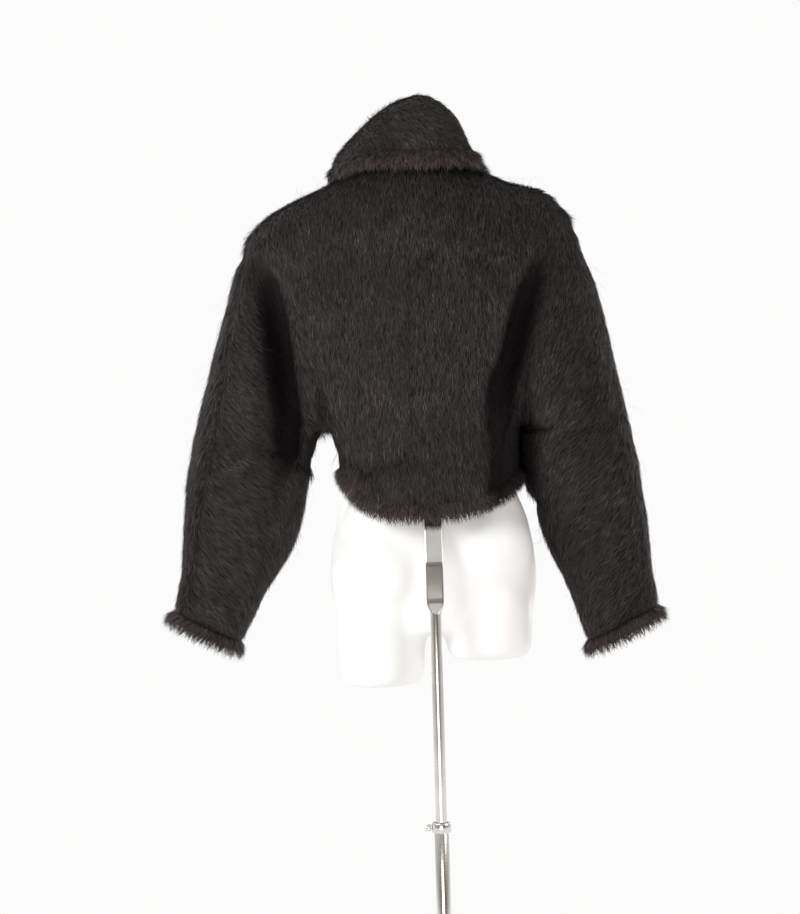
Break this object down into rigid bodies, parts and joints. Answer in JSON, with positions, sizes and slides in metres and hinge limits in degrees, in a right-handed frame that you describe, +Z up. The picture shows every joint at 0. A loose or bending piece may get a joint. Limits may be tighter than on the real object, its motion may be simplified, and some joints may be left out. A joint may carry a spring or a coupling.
{
  "type": "mohair bolero on a dress form stand",
  "caption": "Cropped long-haired mohair bolero with kimono sleeves and a wide folded collar, worn on a limbless white dress form that slides on a chromed stand",
  "frame": {"origin": "middle of the base plate's underside, on the floor", "axes": "+Z up, the garment's front faces -Y, its left side is +X"},
  "size_m": [0.7426, 0.4, 1.557],
  "materials": {
    "mohair": "brushed long pile",
    "mohair_edge": "shaggy pile",
    "white_lacquer": "glossy",
    "chrome": "polished"
  },
  "bodies": {
    "stand": {"base_plate": "chrome", "stand_tube": "chrome", "clamp_ring": "chrome", "clamp_screw": "chrome"},
    "upper": {"form_rod": "chrome", "dress_form": "white_lacquer", "back_left": "mohair", "back_right": "mohair", "front_left": "mohair", "front_right": "mohair", "collar": "mohair", "collar_band": "mohair_edge", "hem_band_left": "mohair_edge", "hem_band_right": "mohair_edge", "cuff_band_left": "mohair_edge", "cuff_band_right": "mohair_edge"}
  },
  "joints": [
    {"name": "height", "type": "slide", "parent": "stand", "child": "upper", "axis": [0, 0, 1], "range_m": [-0.09, 0.15]}
  ]
}
